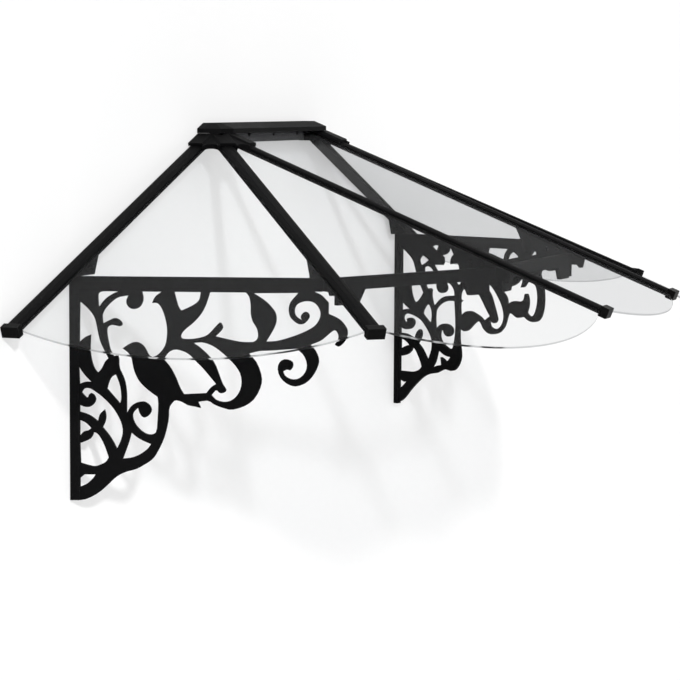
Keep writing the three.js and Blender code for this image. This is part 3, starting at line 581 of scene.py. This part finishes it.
def clip_bolts():
    places = []
    for clip in nodes_named("rafter_clip_"):
        spots, height = WALL_CLIP_SPOTS if "_wall" in clip.name else RING_CLIP_SPOTS
        for sign in (1, -1):
            for along in spots:
                places.append(place_on_plate(clip, sign, along, height))
    return places


make_heads("clip_bolts", clip_bolts(), CLIP_BOLT_RADIUS, CLIP_BOLT_HEIGHT, bracket_coat)

# %% Screws that hold the rail to the wall
RAIL_SCREW_RADIUS = 4.0 * MM
RAIL_SCREW_HEIGHT = 2.2 * MM
RAIL_SCREW_SHARES = (0.08, 0.36, 0.64, 0.92)
TOWARDS_ROOM = Vector((0, -1, 0))


def rail_screws():
    low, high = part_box("ridge_rail")
    middle = (low[2] + high[2]) / 2
    length = high[0] - low[0]
    return [
        (Vector((low[0] + share * length, low[1], middle)), TOWARDS_ROOM)
        for share in RAIL_SCREW_SHARES
    ]


make_heads("rail_screws", rail_screws(), RAIL_SCREW_RADIUS, RAIL_SCREW_HEIGHT, black_coat)


# %% One screw under each end cap
CAP_SCREW_RADIUS = 2.6 * MM
CAP_SCREW_HEIGHT = 1.4 * MM
FACES_DOWN = -0.8
SAME_PLANE = 0.99


def cap_screws():
    places = []
    for cap in nodes_named("end_cap_"):
        faces = faces_of(cap)
        below = max(faces, key=lambda row: row[2] * (row[1].z < FACES_DOWN))
        whole = [row for row in faces if row[1].dot(below[1]) > SAME_PLANE]
        area = sum(row[2] for row in whole)
        centre = sum((row[0] * row[2] for row in whole), Vector()) / area
        places.append((centre, below[1]))
    return places


make_heads("cap_screws", cap_screws(), CAP_SCREW_RADIUS, CAP_SCREW_HEIGHT, cap_plastic)


# %% One bolt under each hub
HUB_BOLT_RADIUS = 3.6 * MM
HUB_BOLT_HEIGHT = 6.0 * MM


def hub_bolts():
    places = []
    for hub in nodes_named("ridge_hub_"):
        low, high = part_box(hub.name)
        middle = [(low[axis] + high[axis]) / 2 for axis in (0, 1)]
        places.append((Vector((middle[0], middle[1], low[2])), Vector((0, 0, -1))))
    return places


make_heads("hub_bolts", hub_bolts(), HUB_BOLT_RADIUS, HUB_BOLT_HEIGHT, black_coat)

# %% [markdown]
# ## The wall and the floor
# The canopy hangs on a plain pale wall, which takes its soft shadow. The wall has to look white
# without more light on the object, so the part that the camera sees is a mix: some of it glows
# evenly and the rest is plain matt white that the lamps light. The shadow only darkens the matt
# part, which keeps it faint. From behind, both planes are see-through, so that the back of the
# canopy can be looked at.

# %% Make the backdrop
WALL_GAP = 1 * MM
FLOOR_DROP = 2.25
BACKDROP_SIZE = 14.0
GLOW_SHARE = 0.46
MATT_SHARE = 0.50
BOUNCE_SHARE = 0.8


def make_backdrop_material():
    material, tree, shader, output = new_material("pale_backdrop")
    tree.nodes.remove(shader)
    plain = add(tree, "ShaderNodeBsdfDiffuse")
    plain.inputs["Color"].default_value = (BOUNCE_SHARE, BOUNCE_SHARE, BOUNCE_SHARE, 1.0)
    matt = add(tree, "ShaderNodeBsdfDiffuse")
    matt.inputs["Color"].default_value = (MATT_SHARE, MATT_SHARE, MATT_SHARE, 1.0)
    glow = add(tree, "ShaderNodeEmission", Strength=GLOW_SHARE)
    seen = add(tree, "ShaderNodeAddShader")
    tree.links.new(matt.outputs[0], seen.inputs[0])
    tree.links.new(glow.outputs[0], seen.inputs[1])
    path = add(tree, "ShaderNodeLightPath")
    direct = math_node(tree, "MAXIMUM", path.outputs["Is Camera Ray"],
                       path.outputs["Is Glossy Ray"])
    direct = math_node(tree, "MAXIMUM", direct, path.outputs["Is Transmission Ray"])
    front = add(tree, "ShaderNodeMixShader")
    tree.links.new(direct, front.inputs[0])
    tree.links.new(plain.outputs[0], front.inputs[1])
    tree.links.new(seen.outputs[0], front.inputs[2])
    behind = add(tree, "ShaderNodeBsdfTransparent")
    side = add(tree, "ShaderNodeNewGeometry")
    both = add(tree, "ShaderNodeMixShader")
    tree.links.new(side.outputs["Backfacing"], both.inputs[0])
    tree.links.new(front.outputs[0], both.inputs[1])
    tree.links.new(behind.outputs[0], both.inputs[2])
    tree.links.new(both.outputs[0], output.inputs["Surface"])
    return material


def make_plane(name, corners, material):
    mesh = bpy.data.meshes.new(name)
    mesh.from_pydata(corners, [], [(0, 1, 2, 3)])
    mesh.materials.append(material)
    plane = bpy.data.objects.new(name, mesh)
    bpy.context.scene.collection.objects.link(plane)
    return plane


pale = make_backdrop_material()
half = BACKDROP_SIZE / 2
wall = make_plane("wall", [
    (-half, WALL_GAP, -FLOOR_DROP), (half, WALL_GAP, -FLOOR_DROP),
    (half, WALL_GAP, half), (-half, WALL_GAP, half),
], pale)
floor = make_plane("floor", [
    (-half, -BACKDROP_SIZE, -FLOOR_DROP), (half, -BACKDROP_SIZE, -FLOOR_DROP),
    (half, WALL_GAP, -FLOOR_DROP), (-half, WALL_GAP, -FLOOR_DROP),
], pale)
print("backdrop:", wall.name, floor.name)

# %% [markdown]
# ## Light
# The shadow on the wall shows where the main light stands: to the left, in front and above. It
# is broad, so the shadow's edge is soft. Everything else is an even white sky. The camera, and
# rays that are mirrored or pass through a panel, see it as pure white, and its light on matt faces
# is a little weaker.

# %% Set the lamps and the sky
LIGHT_TRAVEL = Vector((1.30, 1.0, -0.79))
LIGHT_STRENGTH = 2.6
LIGHT_ANGLE = math.radians(4)
SKY_STRENGTH = 0.60
WHITE_STRENGTH = 1.0


def make_light():
    data = bpy.data.lights.new("main_light", "SUN")
    data.energy = LIGHT_STRENGTH
    data.angle = LIGHT_ANGLE
    light = bpy.data.objects.new("main_light", data)
    bpy.context.scene.collection.objects.link(light)
    light.rotation_euler = LIGHT_TRAVEL.to_track_quat("-Z", "Y").to_euler()


def make_sky():
    world = bpy.data.worlds.new("sky")
    bpy.context.scene.world = world
    world.use_nodes = True
    tree = world.node_tree
    tree.nodes.clear()
    output = add(tree, "ShaderNodeOutputWorld")
    lit = add(tree, "ShaderNodeBackground", Strength=SKY_STRENGTH)
    seen = add(tree, "ShaderNodeBackground", Strength=WHITE_STRENGTH)
    for background in (lit, seen):
        background.inputs["Color"].default_value = (1.0, 1.0, 1.0, 1.0)
    path = add(tree, "ShaderNodeLightPath")
    direct = math_node(tree, "MAXIMUM", path.outputs["Is Camera Ray"],
                       path.outputs["Is Glossy Ray"])
    direct = math_node(tree, "MAXIMUM", direct, path.outputs["Is Transmission Ray"])
    mix = add(tree, "ShaderNodeMixShader")
    tree.links.new(direct, mix.inputs[0])
    tree.links.new(lit.outputs[0], mix.inputs[1])
    tree.links.new(seen.outputs[0], mix.inputs[2])
    tree.links.new(mix.outputs[0], output.inputs["Surface"])


make_light()
make_sky()
bpy.context.scene.view_settings.view_transform = "Standard"
print("light travels along:", [round(part, 2) for part in LIGHT_TRAVEL])
